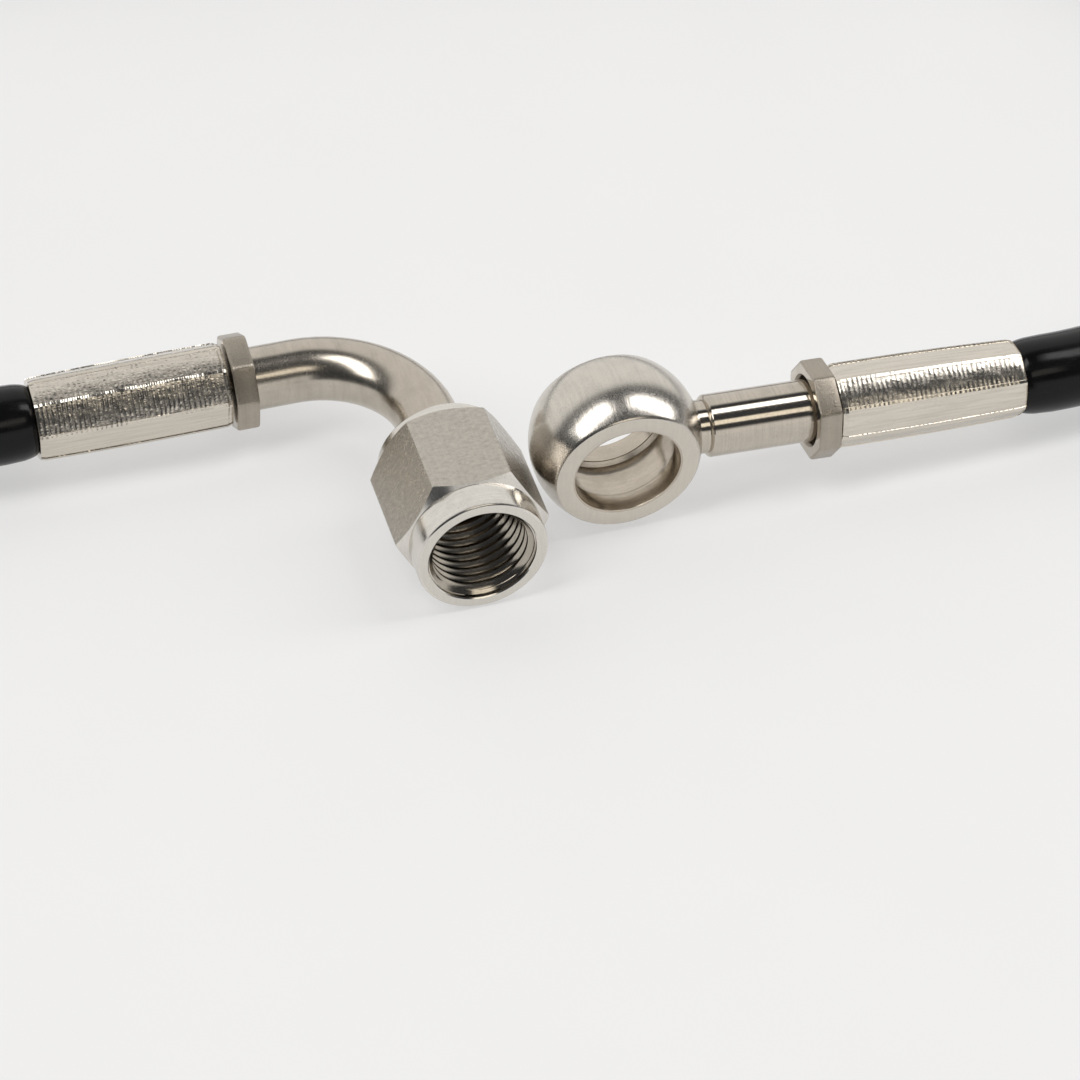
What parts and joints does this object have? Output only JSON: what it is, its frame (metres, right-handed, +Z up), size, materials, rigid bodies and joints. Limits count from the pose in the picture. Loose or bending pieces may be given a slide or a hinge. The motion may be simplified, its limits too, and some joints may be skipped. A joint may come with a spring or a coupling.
{
  "type": "clutch line",
  "caption": "Braided clutch hose with a black cover, a banjo eye on a straight neck at one end and a bent tube with a swivel nut at the other.",
  "frame": {"origin": "on the table, under the middle of the box around the two end fittings", "axes": "+X along the two crimped ferrules towards the banjo's hose, +Z up from the table, -Y the way that the banjo eye and the nut look"},
  "size_m": [0.1757, 0.1191, 0.0162],
  "materials": {
    "satin_steel": "satin turned steel, slightly warm",
    "crimped_steel": "bright steel with crimp marks",
    "nut_steel": "satin steel with a fine mottled grain on the flats",
    "black_cover": "smooth glossy black",
    "woven_steel": "fine woven steel wire",
    "white_liner": "smooth white"
  },
  "bodies": {
    "line": {"banjo_fitting": "satin_steel", "banjo_ferrule": "crimped_steel", "elbow_fitting": "satin_steel", "elbow_ferrule": "crimped_steel", "hose_cover": "black_cover", "hose_braid": "woven_steel", "hose_liner": "white_liner"},
    "nut": {"swivel_nut": "nut_steel"}
  },
  "joints": [
    {"name": "nut_turn", "type": "hinge", "parent": "line", "child": "nut", "pos_m": [-0.00985, -0.01, 0.00635], "axis": [0, -1, 0], "continuous": true}
  ]
}
